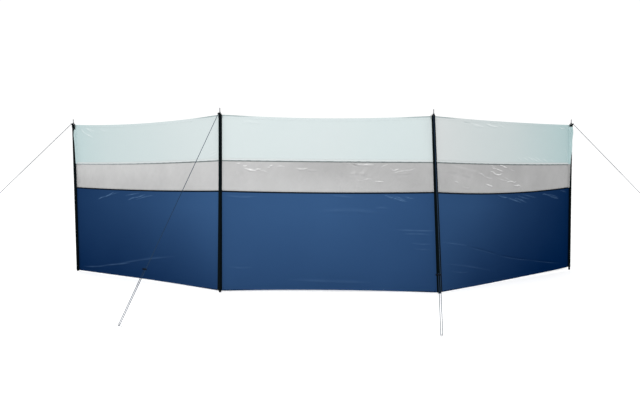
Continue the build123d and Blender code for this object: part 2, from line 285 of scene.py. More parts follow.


# The folds of each bay, each from one place to another: the share of the bay in thousandths and the
# height in millimetres, twice, then half its width in millimetres and its shine in hundredths: a painted
# highlight along the fold, or painted shade where the shine is negative.
FOLDS = {
    "left": [
        (55, 1362, 88, 1312, 5, 45), (83, 1318, 148, 1270, 5, 50), (83, 1368, 142, 1318, 5, 45),
        (112, 1362, 168, 1328, 5, 28), (200, 1346, 255, 1320, 6, 16), (935, 1100, 985, 1132, 4, 20),
        (925, 1080, 980, 1110, 4, 15), (800, 1052, 840, 1020, 5, -10), (170, 698, 225, 728, 4, 45),
        (215, 722, 292, 772, 4.5, 48), (240, 735, 330, 772, 4, 22), (395, 703, 455, 733, 4.5, 42),
        (445, 728, 520, 764, 4.5, 42), (375, 744, 475, 770, 4.5, 32), (445, 708, 580, 757, 5, 24),
        (30, 45, 240, 88, 6, 15), (200, 82, 420, 140, 7, 17), (300, 110, 720, 245, 8, 10),
        (60, 30, 180, 42, 5, -30),
    ],
    "middle": [
        (108, 996, 172, 969, 5, 80), (120, 990, 166, 972, 3, 60), (162, 979, 192, 982, 4, 90),
        (105, 1013, 125, 1013, 5, 85), (76, 1030, 94, 1026, 4, 55), (185, 973, 225, 954, 5, 25),
        (222, 998, 236, 1008, 4, 45), (230, 1010, 246, 1015, 5, 85), (262, 1002, 305, 1002, 5, 25),
        (352, 992, 412, 990, 6, 48), (400, 972, 460, 966, 8, -8), (560, 1036, 640, 1022, 5, 25),
        (603, 1043, 652, 1005, 5, -55), (640, 1020, 722, 1018, 6, 60), (750, 996, 786, 1020, 4, 42),
        (795, 992, 815, 970, 4, 32), (810, 972, 835, 986, 4.5, 70), (808, 951, 870, 972, 5, 35),
        (860, 970, 912, 992, 5, 30), (720, 888, 764, 884, 4, 80), (668, 898, 708, 905, 4.5, 35),
        (630, 905, 670, 893, 5, 15), (800, 935, 900, 950, 9, -10), (600, 940, 700, 925, 12, -8),
        (763, 782, 815, 752, 4.5, 40), (805, 757, 870, 722, 4.5, 45), (800, 772, 862, 735, 4, 28),
        (850, 773, 905, 748, 4, 30), (795, 502, 990, 497, 4, 26), (840, 470, 975, 464, 5, 13),
        (880, 400, 975, 392, 5, 10), (890, 352, 970, 345, 5, 9), (720, 675, 780, 672, 6, 12),
        (30, 205, 150, 198, 6, 8), (300, 100, 700, 80, 12, 6), (450, 650, 750, 640, 14, 5),
        (20, 775, 180, 768, 7, 12), (520, 775, 620, 762, 7, 12), (100, 1350, 190, 1340, 9, 7),
    ],
    "right": [
        (160, 1384, 238, 1360, 5, -40), (235, 1360, 332, 1335, 5.5, 42), (275, 1386, 400, 1370, 5, -42),
        (330, 1372, 435, 1342, 6, 52), (253, 1347, 295, 1333, 5, 25), (420, 1362, 480, 1336, 5, 22),
        (910, 1378, 945, 1362, 5, 50), (962, 1388, 988, 1365, 5, 50), (935, 1372, 960, 1352, 4, 35),
        (575, 1088, 605, 1062, 4, 22), (618, 1085, 660, 1055, 4, 42), (648, 1092, 702, 1052, 4, 48),
        (684, 1085, 742, 1047, 4, 48), (704, 1092, 768, 1047, 4, 42), (760, 1076, 812, 1040, 4, 40),
        (830, 1075, 865, 1045, 4, 22), (955, 1180, 985, 1090, 5, 30), (965, 1120, 985, 1050, 4, 30),
        (430, 1028, 462, 1012, 4.5, 90), (452, 1012, 492, 992, 5, 100), (366, 1017, 402, 992, 4, 50),
        (378, 1000, 412, 985, 4.5, 70), (405, 988, 464, 960, 5, 85), (368, 962, 405, 945, 4.5, 80),
        (385, 950, 450, 932, 5, 100), (425, 932, 458, 944, 4, 60), (280, 952, 328, 922, 6, 40),
        (322, 924, 385, 903, 5, 32), (333, 858, 388, 832, 5, 90), (482, 867, 545, 868, 5, 65),
        (535, 864, 565, 876, 4, 50), (542, 838, 592, 834, 6, 75), (560, 850, 600, 822, 4, 45),
        (420, 905, 500, 880, 5, 30), (450, 925, 560, 850, 5, 22), (120, 885, 148, 868, 5, 42),
        (170, 845, 225, 828, 6, 16), (500, 985, 548, 965, 5, 28), (375, 1030, 428, 1002, 3.5, -25),
        (470, 990, 560, 978, 4, -15), (100, 1015, 300, 955, 14, 10), (50, 960, 250, 900, 14, -8),
        (415, 758, 505, 728, 4.5, 45), (495, 730, 600, 680, 4.5, 45), (545, 726, 650, 672, 4, 38),
        (570, 746, 662, 710, 4, 30), (600, 758, 720, 715, 4, 24), (760, 752, 835, 727, 4, 40),
        (825, 730, 908, 700, 4, 40), (820, 746, 897, 713, 4, 26), (920, 776, 978, 750, 4, 26),
        (400, 765, 460, 745, 8, -12), (25, 405, 200, 350, 4.5, 14), (180, 355, 430, 235, 4.5, -40),
        (400, 245, 700, 145, 4.5, -50), (660, 155, 930, 80, 4.5, -50), (50, 225, 360, 110, 6, 8),
        (80, 160, 200, 125, 5, 8),
    ],
}
# How far edges hang below the frame's own, halfway along a bay.
DROOP = {("right", "low"): 0.018}
# The cloth lies still this near a pole, and moves freely this much further on.
HELD, FREED = 0.03, 0.05


def run_between(left, right):
    """(length, angle) of the level run from one pole to another."""
    span = right.axis(0.0) - left.axis(0.0)
    return hypot(span[0], span[1]), atan2(span[1], span[0])


class Bay:
    """The cloth between two poles."""

    def __init__(self, index, poles):
        self.index = index
        self.name = BAYS[index]
        self.left, self.right = poles[index], poles[index + 1]
        self.length, angle = run_between(self.left, self.right)
        self.along = flat(angle)
        self.away = flat(angle + pi / 2)
        self.edges = {}
        for band, low, high in (("upper_panel", "high", "top"), ("lower_panel", "bottom", "low")):
            self.edges[low], self.edges[high] = self.band_edges(f"{self.name}_{band}")
        self.folds = [Crease(order, *fold) for order, fold in enumerate(FOLDS[self.name])]
        hand = Random(index + 4)
        self.waves = [(hand.uniform(3.0, 9.0), hand.uniform(4.0, 14.0), hand.uniform(0.0, 2 * pi))
                      for _ in range(5)]
        self.crinkles = [(hand.uniform(40.0, 95.0), hand.uniform(-80.0, 80.0), hand.uniform(0.0, 2 * pi))
                         for _ in range(6)]

    def band_edges(self, node):
        """The heights of a band's lower and upper edges at its start, middle and end."""
        spots = np.array([vert.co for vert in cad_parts[node].data.vertices])
        x = spots @ self.along
        stations = (x.min(), (x.min() + x.max()) / 2, x.max())
        slices = [spots[np.abs(x - station) < self.length / 25, 2] for station in stations]
        return [z.min() for z in slices], [z.max() for z in slices]

    def level(self, edge, u):
        """The height of an edge at a share of the bay."""
        start, middle, end = self.edges[edge]
        droop = (start + end) / 2 - middle + DROOP.get((self.name, edge), 0.0)
        return blend(start, end, u) - droop * 4.0 * u * (1.0 - u)

    def share_of(self, s, z):
        """The share of the bay for a share of the cloth, which ends at a crease or past an end pole."""
        first = -self.left.half(z) / self.length if self.index == 0 else 0.0
        last = 1.0 + self.right.half(z) / self.length if self.index == 2 else 1.0
        return blend(first, last, s)

    def relief(self, u, z):
        """(height towards the viewer, shine) of the folds and waves."""
        cloth = sizes().cloth
        x = u * self.length
        still = smooth((x - HELD) / FREED) * smooth((self.length - x - HELD) / FREED)
        height = shine = 0.0
        for fold in self.folds:
            lift, glint = fold.at(u, z, self.length)
            height = height + lift
            shine = shine + glint
        for across, up, phase in self.waves:
            height = height + cloth.ripple * np.sin(across * x + phase) * np.sin(up * z + 2.0 * phase)
        inside = (z > self.level("low", u)) & (z < self.level("high", u))
        for across, up, phase in self.crinkles:
            wave = cloth.crinkle * np.sin(across * x + up * z + phase) * np.sin(3.0 * x + phase)
            height = height + np.where(inside, wave, 0.0)
        return height * still, shine

    def surface(self, u, z, out=0.0):
        """Places on the cloth's face, or out away from the viewer."""
        bow = np.sin(pi * np.clip(u, 0.0, 1.0)) ** 2
        belly = sizes().cloth.belly * bow * (0.7 + 0.3 * np.sin(pi * z / self.level("top", 0.5)))
        line = self.left.crease(z) + (self.right.crease(z) - self.left.crease(z)) * np.asarray(u)[..., None]
        return line + times(belly + out - self.relief(u, z)[0], self.away)


# ---------------------------------------------------------------- meshes
# A finish, the name of its slot, and the function that says how light falls off over it.
Look = namedtuple("Look", "material slot shade", defaults=[None])


def finish_piece(mesh, look, *nodes):
    """Makes an object of a finished mesh, with its look, its body and the nodes it stands for."""
    piece = bpy.data.objects.new(mesh.name, mesh)
    bpy.context.scene.collection.objects.link(piece)
    mesh.materials.append(look.material)
    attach(piece, "root")
    if nodes:
        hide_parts(*nodes)
    return piece


def mesh_of(bm, name):
    """A bmesh as a smooth-shaded mesh."""
    for face in bm.faces:
        face.smooth = True
    mesh = bpy.data.meshes.new(name)
    bm.to_mesh(mesh)
    bm.free()
    return mesh


def warped(name, columns, rows, place, width=1.0, height=1.0, tint=None, closed=False):
    """A grid put in place by a function of two shares, with its flat size as its UV map.

    tint gives each place its (crease, shade), a painted highlight or darkening and the painted fall-off of
    light, and closed joins the last column to the first."""
    bm = bmesh.new()
    weave = bm.loops.layers.uv.new("weave")
    bmesh.ops.create_grid(bm, x_segments=columns, y_segments=rows, size=0.5)
    for face in bm.faces:
        for loop in face.loops:
            loop[weave].uv = ((loop.vert.co.x + 0.5) * width, (loop.vert.co.y + 0.5) * height)
    s, t = (np.array([vert.co[axis] + 0.5 for vert in bm.verts]) for axis in (0, 1))
    if tint:
        crease, shade = (bm.verts.layers.float.new(layer) for layer in ("crease", "shade"))
        values = (np.broadcast_to(value, s.shape).tolist() for value in tint(s, t))
        for vert, glint, light in zip(bm.verts, *values):
            vert[crease], vert[shade] = glint, light
    for vert, spot in zip(bm.verts, place(s, t).tolist()):
        vert.co = spot
    if closed:
        bmesh.ops.remove_doubles(bm, verts=bm.verts, dist=1e-6)
        rims = [edge for edge in bm.edges if edge.is_boundary]
        bmesh.ops.holes_fill(bm, edges=rims)
        bmesh.ops.recalc_face_normals(bm, faces=bm.faces)
    return mesh_of(bm, name)


def thicken(piece, thickness):
    """Gives a sheet its thickness, half to each side."""
    wall = piece.modifiers.new("Thickness", "SOLIDIFY")
    wall.thickness = thickness
    wall.offset = 0.0
    wall.use_even_offset = True


def spun(name, outline, centre, steps=40):
    """A turned piece from its half outline of (radius, height)."""
    bm = bmesh.new()
    verts = [bm.verts.new((radius, 0.0, z)) for radius, z in outline]
    edges = [bm.edges.new(pair) for pair in zip(verts, verts[1:])]
    bmesh.ops.spin(bm, geom=verts + edges, cent=(0, 0, 0), axis=(0, 0, 1), angle=2 * pi, steps=steps,
                   use_merge=True)
    bmesh.ops.remove_doubles(bm, verts=bm.verts, dist=1e-6)
    bmesh.ops.recalc_face_normals(bm, faces=bm.faces)
    bmesh.ops.translate(bm, verts=bm.verts, vec=centre)
    return mesh_of(bm, name)


def rounded(points, corner, steps):
    """A line of points with each inner corner turned into a short even curve."""
    line = [points[0]]
    for before, at, after in zip(points, points[1:], points[2:]):
        back = (before - at).normalized() * min(corner, (before - at).length / 2)
        ahead = (after - at).normalized() * min(corner, (after - at).length / 2)
        for k in range(steps + 1):
            part = k / steps
            line.append(at + back * (1 - part) ** 2 + ahead * part ** 2)
    line.append(points[-1])
    return line


def tube(name, line, radius, sides=12, taper=None):
    """A cord or a bar along a line of points, with closed ends; taper scales its radius."""
    ways = [(b - a).normalized() for a, b in zip(line, line[1:])]
    ways = [ways[0]] + [(a + b).normalized() for a, b in zip(ways, ways[1:])] + [ways[-1]]
    first = ways[0].orthogonal().normalized()
    frames = []
    for way in ways:
        first = (first - way * first.dot(way)).normalized()
        frames.append((first, way.cross(first)))
    gone = [0.0]
    for a, b in zip(line, line[1:]):
        gone.append(gone[-1] + (b - a).length)
    last = len(line) - 1
    middles, across, over = np.array(line), *np.array(frames).transpose(1, 0, 2)
    girths = radius * np.array([taper(k / last) if taper else 1.0 for k in range(last + 1)])

    def place(s, t):
        k = nearest(t, last)
        ring = across[k] * np.cos(2 * pi * s)[:, None] + over[k] * np.sin(2 * pi * s)[:, None]
        return middles[k] + ring * girths[k][:, None]

    mesh = warped(name, sides, last, place, 2 * pi * radius, 1.0, closed=True)
    for corner in mesh.uv_layers["weave"].data:
        corner.uv.y = gone[round(corner.uv.y * last)]
    return mesh


def stitches(name, spots):
    """A row of sewn stitches: each spot is its place, the way it runs and the way it faces."""
    cloth = sizes().cloth
    bead = bmesh.new()
    bmesh.ops.create_uvsphere(bead, u_segments=6, v_segments=4, radius=1.0)
    bead.verts.index_update()
    shell = [vert.co.copy() for vert in bead.verts]
    sides = [[vert.index for vert in face.verts] for face in bead.faces]
    bead.free()
    size = Matrix.Diagonal((cloth.thread, cloth.stitch * 0.7 / 2, cloth.thread * 0.8, 1.0))
    bm = bmesh.new()
    for here, way, up in spots:
        way, up = Vector(way).normalized(), Vector(up)
        side = way.cross(up).normalized()
        turn = Matrix((side, way, side.cross(way))).transposed().to_4x4()
        put = Matrix.Translation(here) @ turn @ size
        verts = [bm.verts.new(put @ spot) for spot in shell]
        for corners in sides:
            bm.faces.new([verts[k] for k in corners])
    return mesh_of(bm, name)


# ---------------------------------------------------------------- finishes
class Signal:
    """A shader socket that Python's sums and products turn into Math nodes."""

    def __init__(self, finish, socket):
        self.finish = finish
        self.socket = socket

    def math(self, operation, *values):
        return self.finish.node("ShaderNodeMath", {"operation": operation}, dict(enumerate(values)))

    def output(self, name):
        return Signal(self.finish, self.socket.node.outputs[name])

    def __add__(self, other):
        return self.math("ADD", self, other)

    def __radd__(self, other):
        return self.math("ADD", other, self)

    def __sub__(self, other):
        return self.math("SUBTRACT", self, other)

    def __rsub__(self, other):
        return self.math("SUBTRACT", other, self)

    def __mul__(self, other):
        return self.math("MULTIPLY", self, other)

    def __rmul__(self, other):
        return self.math("MULTIPLY", other, self)

    def wave(self):
        return self.math("SINE", self)

    def ripple(self, pitch):
        """A wave that repeats at every pitch."""
        return (self * (2 * pi / pitch)).wave()

    def size(self):
        return self.math("ABSOLUTE", self)

    def held(self, low=0.0, high=1.0):
        """Kept between two values."""
        return self.math("MINIMUM", self.math("MAXIMUM", self, low), high)


class Finish:
    """One procedural material on a Principled surface."""

    def __init__(self, name):
        self.material = bpy.data.materials.new(name)
        self.material.use_nodes = True
        self.tree = self.material.node_tree
        self.tree.nodes.clear()

    def node(self, kind, settings=None, inputs=None, output=0):
        """Adds a node, with its settings and then its sockets' values or links, and gives its output."""
        node = self.tree.nodes.new(kind)
        for key, value in (settings or {}).items():
            setattr(node, key, value)
        for key, value in (inputs or {}).items():
            if isinstance(value, Signal):
                self.tree.links.new(value.socket, node.inputs[key])
            else:
                node.inputs[key].default_value = value
        if node.outputs:
            return Signal(self, node.outputs[output])

    def place(self):
        """The object's coordinates, in metres."""
        return self.node("ShaderNodeTexCoord", output="Object")

    def weave_map(self):
        """The piece's flat coordinates, in metres, as two signals."""
        uv = self.node("ShaderNodeUVMap", {"uv_map": "weave"})
        split = self.node("ShaderNodeSeparateXYZ", inputs={0: uv})
        return split, split.output("Y")

    def layer(self, name):
        return self.node("ShaderNodeAttribute", {"attribute_name": name}, output="Fac")

    def creases(self):
        """Where creases have a painted highlight, and where they have painted shade."""
        crease = self.layer("crease")
        return crease.held(), (crease * -1.0).held()

    def noise(self, scale, detail=2.0, roughness=0.5, where=None):
        return self.node("ShaderNodeTexNoise", inputs={
            "Vector": where or self.place(), "Scale": scale, "Detail": detail, "Roughness": roughness})

    def mix(self, first, second, part):
        """A colour between two; the node's colour sockets go by number."""
        first, second = (c if isinstance(c, Signal) else (*c, 1.0) for c in (first, second))
        return self.node("ShaderNodeMix", {"data_type": "RGBA", "clamp_factor": True},
                         {0: part, 6: first, 7: second}, output=2)

    def bump(self, height, distance, strength):
        return self.node("ShaderNodeBump", inputs={
            "Height": height, "Distance": distance, "Strength": strength})

    def surface(self, **sockets):
        """Ends the material; a socket's name is written with _ for its spaces."""
        values = {name.replace("_", " "): value for name, value in sockets.items()}
        shader = self.node("ShaderNodeBsdfPrincipled", inputs=values)
        self.node("ShaderNodeOutputMaterial", inputs={"Surface": shader})
        return self.material


def toned(colour, amount):
    """A colour made lighter or darker."""
    return [min(c * amount, 1.0) for c in colour]


WEAVE = 0.0009  # from one thread of the cloth to the next
PICK = 0.0014  # from one cross thread of the webbing to the next
SLEEVE_RIB, LOOP_RIB = 0.0022, 0.0030  # from one rib of the webbing to the next


def cloth_finish(name, lit, deep, crest, gloss=0.0):
    """Coated plain weave: the shade layer paints its light and shade, and creases get painted highlights
    and shade.
    """
    finish = Finish(name)
    across, up = finish.weave_map()
    bright, dark = finish.creases()
    drift = finish.noise(2.2, 3.0) - 0.5
    fleck = finish.noise(900.0, 1.0) - 0.5
    shade = (finish.layer("shade") + drift * 0.10 + fleck * 0.05).held()
    tone = finish.mix(deep, lit, shade)
    tone = finish.mix(tone, crest, bright)
    tone = finish.mix(tone, toned(deep, 0.5), dark)
    threads = across.ripple(WEAVE) * up.ripple(WEAVE)
    pull = finish.noise(26.0, 3.0, 0.6)
    normal = finish.bump(threads * 0.12 + pull * 0.9, 0.0012, 0.35)
    rough = (0.55 + (finish.noise(9.0) - 0.5) * 0.16 - bright * 0.15).held(0.2, 1.0)
    return finish.surface(Base_Color=tone, Roughness=rough, Normal=normal, Specular_IOR_Level=gloss)


def mint_finish(name):
    """The upper panels' cloth."""
    colour = sizes().colour
    return cloth_finish(name, colour.mint_lit, colour.mint_deep, (0.60, 0.63, 0.63), 0.15)


def navy_finish(name):
    """The lower panels' cloth."""
    colour = sizes().colour
    return cloth_finish(name, colour.navy_lit, colour.navy_deep, (0.11, 0.20, 0.34))


def film_finish():
    """Milky window film, a little cloudy; its creases get painted highlights, partly stress whitening,
    which also make it less clear, and painted shade below them.
    """
    colour = sizes().colour
    finish = Finish("window film")
    bright, dark = finish.creases()
    cloud = finish.noise(5.0, 4.0, 0.6) - 0.5
    tone = finish.mix(colour.film_deep, colour.film_lit, (finish.layer("shade") + cloud * 0.5).held())
    tone = finish.mix(tone, (0.56, 0.56, 0.56), bright)
    tone = finish.mix(tone, (0.12, 0.12, 0.12), dark)
    normal = finish.bump(finish.noise(38.0), 0.002, 0.35)
    rough = (0.20 + cloud * 0.12).held(0.08, 0.5)
    see = (0.80 + bright * 0.20).held()
    return finish.surface(Base_Color=tone, Roughness=rough, Normal=normal, Alpha=see,
                          Specular_IOR_Level=0.35, IOR=1.5)


def webbing_finish(name, rib):
    """Woven webbing: ribs along it and a fine cross weave."""
    colour = sizes().colour.webbing
    finish = Finish(name)
    across, up = finish.weave_map()
    wave = across.ripple(rib)
    ribs = wave.size()
    picks = up.ripple(PICK) * wave
    dust = finish.noise(30.0, 4.0, 0.6) - 0.5
    # Lighter with dust, and along the ribs' crowns a small painted highlight.
    tone = finish.mix(colour, toned(colour, 2.2), ((dust * 0.9).held() + ribs * 0.15).held())
    normal = finish.bump(ribs * 0.6 + picks * 0.3, 0.0006, 0.6)
    rough = (0.72 + dust * 0.2).held(0.3, 1.0)
    return finish.surface(Base_Color=tone, Roughness=rough, Normal=normal, Specular_IOR_Level=0.02)


def cord_finish(name, colour):
    """Braided cord: two sets of strands that cross round it."""
    radius = sizes().cord.cord
    finish = Finish(name)
    across, up = finish.weave_map()
    turn = across * (4 / radius)
    rise = up * (2 * pi / (radius * 2.4))
    strands = ((turn + rise).wave() * (turn - rise).wave() + 1.0) * 0.5
    # The strands' crowns are painted lighter and the grooves between them darker: painted highlight and
    # shade.
    tone = finish.mix(toned(colour, 0.55), toned(colour, 1.5), strands)
    normal = finish.bump(strands, radius * 0.3, 0.7)
    return finish.surface(Base_Color=tone, Roughness=0.8, Normal=normal, Specular_IOR_Level=0.02)


def thread_finish(name, colour):
    """Sewing thread, a little uneven."""
    finish = Finish(name)
    tone = finish.mix(toned(colour, 0.7), colour, finish.noise(700.0))
    return finish.surface(Base_Color=tone, Roughness=0.7, Specular_IOR_Level=0.02)


def steel_finish(name, colour, roughness):
    """Drawn steel: fine lines along it and a few duller patches."""
    finish = Finish(name)
    drawn = {"Vector": finish.place(), "Scale": (900.0, 900.0, 30.0)}
    lines = finish.noise(1.0, where=finish.node("ShaderNodeMapping", inputs=drawn))
    patches = finish.noise(60.0, 4.0, 0.6)
    tone = finish.mix(toned(colour, 0.72), colour, (lines * 0.6 + patches * 0.5).held())
    rough = (roughness + (patches - 0.5) * 0.3 + (lines - 0.5) * 0.1).held(0.12, 0.8)
    normal = finish.bump(lines, 0.0001, 0.4)
    return finish.surface(Base_Color=tone, Roughness=rough, Normal=normal, Metallic=1.0)


def coat_finish():
    """Powder coat with its fine orange peel and rubbed patches."""
    colour = sizes().colour.pole
    finish = Finish("powder coat")
    peel = finish.noise(900.0)
    rubbed = ((finish.noise(45.0, 4.0, 0.65) - 0.58) * 6.0).held()
    tone = finish.mix(colour, toned(colour, 0.6), rubbed)
    rough = (0.45 + peel * 0.15).held()
    return finish.surface(Base_Color=tone, Roughness=rough, Normal=finish.bump(peel, 0.0002, 0.5))


def moulded_finish(name, colour, roughness):
    """Moulded rubber or plastic with a fine spark grain and a little dust."""
    finish = Finish(name)
    spark = finish.noise(1400.0)
    dust = ((finish.noise(80.0, 4.0, 0.6) - 0.5) * 3.0).held()
    tone = finish.mix(colour, [c + 0.005 for c in toned(colour, 1.6)], dust * 0.5)
    rough = (roughness + (spark - 0.5) * 0.2).held(0.2, 1.0)
    return finish.surface(Base_Color=tone, Roughness=rough, Normal=finish.bump(spark, 0.0001, 0.5),
                          Specular_IOR_Level=0.0)


def floor_finish():
    """A matt floor that glows a little, so that shadows on it stay faint."""
    pale = sizes().stage.floor
    finish = Finish("pale floor")
    tone = finish.mix(pale, toned(pale, 0.985), finish.noise(0.8))
    return finish.surface(Base_Color=tone, Roughness=0.9, Specular_IOR_Level=0.0,
                          Emission_Color=(1.0, 1.0, 1.0, 1.0), Emission_Strength=0.22)


# ---------------------------------------------------------------- how light falls off along the screen
# 0 is a band's deep colour and 1 its lit one, at every quarter of each bay from the left.
MINT = [[0.21, 0.48, 0.57, 0.69, 0.75], [0.72, 0.69, 0.72, 0.64, 0.67], [1.00, 0.79, 0.69, 0.37, 0.02]]
FILM_HIGH = [[0.89, 0.89, 0.88, 0.81, 0.86], [0.67, 0.58, 0.21, 0.32, 0.31], [0.49, 0.38, 0.19, 0.28, 0.23]]
FILM_LOW = [[0.44, 0.61, 0.60, 0.60, 0.80], [0.68, 0.67, 0.65, 0.43, 0.20], [0.20, 0.43, 0.29, 0.18, 0.17]]
NAVY_HIGH = [[0.28, 0.42, 0.54, 0.75, 0.98], [0.84, 0.92, 0.96, 0.83, 0.68], [0.82, 0.70, 0.43, 0.23, 0.07]]
NAVY_LOW = [[0.12, 0.17, 0.22, 0.33, 0.50], [0.69, 0.67, 0.65, 0.66, 0.50], [0.58, 0.30, 0.17, 0.05, 0.01]]


def along(values, bay, u):
    """A value at a share of a bay, from its values at every quarter."""
    return np.interp(u, (0.0, 0.25, 0.5, 0.75, 1.0), values[bay.index])


def mint_shade(bay, u, z):
    """As every shade function, for a share of a bay and a height."""
    return along(MINT, bay, u)


def film_shade(bay, u, z):
    """Also painted darker near its lower edge, where the film is lapped over the seam and lies in the
    seam's shade, and a little darker just under its upper seam.
    """
    low, high = bay.level("low", u), bay.level("high", u)
    part = (z - low) / (high - low)
    tone = blend(along(FILM_LOW, bay, u), along(FILM_HIGH, bay, u), smooth((part - 0.15) / 0.7))
    return tone - 0.6 * (1.0 - smooth(part / 0.09)) - 0.15 * smooth((part - 0.93) / 0.07)


def bead_and_shadow_shade(bay, u, z):
    """How dark the bead and its painted shadow are: faint at the left end, and dark from the first inner
    pole on.
    """
    return np.minimum((bay.index + u) / 0.8, 1.0)


def navy_shade(bay, u, z):
    """The upper values are reached 0.62 m up, and the lower ones 0.1 m up."""
    return blend(along(NAVY_LOW, bay, u), along(NAVY_HIGH, bay, u), np.clip((z - 0.1) / 0.52, -0.1, 1.1))


# ---------------------------------------------------------------- the cloth
CELL = 2.4  # width of the bands' mesh cells by their height


def band_piece(bay, band, low, high, spacing, thickness, look):
    """One band of a bay, from seam to seam, as a sheet with its folds."""
    tall = bay.level(high, 0.5) - bay.level(low, 0.5)

    def spot(s, t):
        z = blend(bay.level(low, s), bay.level(high, s), t)
        u = bay.share_of(s, z)
        return u, blend(bay.level(low, u), bay.level(high, u), t)

    def place(s, t):
        return bay.surface(*spot(s, t), thickness / 2)

    def tint(s, t):
        u, z = spot(s, t)
        return bay.relief(u, z)[1], look.shade(bay, u, z)

    columns, rows = ceil(bay.length / (CELL * spacing)), ceil(tall / spacing)
    mesh = warped(f"{bay.name}_{band}_cloth", columns, rows, place, bay.length, tall, tint)
    piece = finish_piece(mesh, look, f"{bay.name}_{band}")
    thicken(piece, thickness)


def strip_piece(bay, part, seam, low, high, look, out, thickness):
    """A narrow strip sewn along a bay, from low to high above a seam."""

    def spot(s, t):
        level = bay.level(seam, s)
        return s, blend(level + low, level + high, t)

    def place(s, t):
        return bay.surface(*spot(s, t), out)

    def tint(s, t):
        return 0.0, look.shade(bay, *spot(s, t))

    columns = ceil(bay.length / sizes().cloth.mesh_strip)
    mesh = warped(f"{bay.name}_{part}", columns, 2, place, bay.length, high - low, tint)
    thicken(finish_piece(mesh, look), thickness)


HEM_ROOM = 0.002  # between a sleeve and a hem's end
EDGE_DARK_REACH, EDGE_DARK_FADE = 0.12, 0.20  # how far from a pole the hems' edges are painted darker, and how much further that fades
RIM = 0.012  # how far down from the hem's edge the darkening goes


def hem_edge_darkening(bay, u):
    """Paints the hems' edges darker near the two inner poles."""
    ends = [(1.0 - u) * bay.length] * (bay.index < 2) + [u * bay.length] * (bay.index > 0)
    return sum(1.0 - smooth((end - EDGE_DARK_REACH) / EDGE_DARK_FADE) for end in ends)


def hem_piece(bay, edge, way, look):
    """A hem folded over an edge of the cloth: way is 1 at the top edge and -1 at the bottom."""
    cloth = sizes().cloth
    inset = max(bay.left.half(bay.level(edge, 0.0)), bay.right.half(bay.level(edge, 1.0))) + HEM_ROOM
    first, last = inset / bay.length, 1.0 - inset / bay.length
    turn = (cloth.cloth + cloth.hem_cloth) / 2
    down = (1.0, 0.975, 0.75, 0.5, 0.25, 0.0)
    around = [(-part * cloth.hem, -turn) for part in down]
    around += arc(0.0, 0.0, turn, -pi / 3, pi / 3, 4)
    around += [(-part * cloth.hem, turn) for part in reversed(down)]
    rows = len(around) - 1
    rise, out = np.array(around).T

    def place(s, t):
        k, u = nearest(t, rows), blend(first, last, s)
        return bay.surface(u, bay.level(edge, u) + way * rise[k], cloth.cloth / 2 + out[k])

    def tint(s, t):
        u = blend(first, last, s)
        # The hems' edges are painted darker near the inner poles, fading down from the edge.
        rim = smooth(1.0 + rise[nearest(t, rows)] / RIM)
        return -hem_edge_darkening(bay, u) * rim, look.shade(bay, u, bay.level(edge, u))

    columns = ceil(bay.length / cloth.mesh_strip)
    mesh = warped(f"{bay.name}_{edge}_fold", columns, rows, place, bay.length, 2 * cloth.hem, tint)
    if way < 0:
        mesh.flip_normals()
    thicken(finish_piece(mesh, look, f"{bay.name}_{edge}_hem"), cloth.hem_cloth)


def stitch_row(bay, part, edge, rise, look, out, inset):
    """A row of stitches along a bay, raised from one of its edges."""
    cloth = sizes().cloth
    spots = []
    for k in range(int((bay.length - 2 * inset) / cloth.stitch)):
        u = (inset + (k + 0.5) * cloth.stitch) / bay.length
        spots.append((bay.surface(u, bay.level(edge, u) + rise, out), bay.along, -bay.away))
    finish_piece(stitches(f"{bay.name}_{part}", spots), look)


def layout():
    """The poles and bays, as the frame has them."""
    poles = [Pole(index) for index in range(len(POLES))]
    runs = [run_between(left, right)[1] for left, right in zip(poles, poles[1:])]
    for pole, before, after in zip(poles, [runs[0]] + runs, runs + [runs[-1]]):
        pole.face((before + after) / 2, abs(after - before) / 2)
    return poles, [Bay(index, poles) for index in range(len(BAYS))]


class PieceOperator(bpy.types.Operator):
    """Common ground of the operators that make pieces."""
    bl_options = {"REGISTER", "UNDO"}

    def execute(self, context):
        self.make(*layout())
        return {"FINISHED"}


class WINDBREAK_OT_panels(PieceOperator):
    """The upper panel, window and lower panel of each bay"""
    bl_idname = "windbreak.panels"
    bl_label = "Panels"

    def make(self, poles, bays):
        cloth = sizes().cloth
        mint = Look(mint_finish("mint cloth"), "mint_cloth", mint_shade)
        navy = Look(navy_finish("navy cloth"), "navy_cloth", navy_shade)
        film = Look(film_finish(), "window_film", film_shade)
        for bay in bays:
            band_piece(bay, "upper_panel", "high", "top", cloth.mesh_fine, cloth.cloth, mint)
            band_piece(bay, "window", "low", "high", cloth.mesh_fine, cloth.film, film)
            band_piece(bay, "lower_panel", "bottom", "low", cloth.mesh_coarse, cloth.cloth, navy)


# The painted lit and deep colours of the seams' strips, and the painted highlight of their creases.
FOLD_COLOURS = (0.445, 0.472, 0.472), (0.440, 0.480, 0.480), (0.6, 0.6, 0.6)
BEAD_AND_SHADOW_COLOURS = (0.115, 0.135, 0.135), (0.26, 0.28, 0.29), (0.3, 0.3, 0.3)
TAPE_COLOURS = (0.006, 0.010, 0.016), (0.002, 0.004, 0.008), (0.1, 0.1, 0.1)


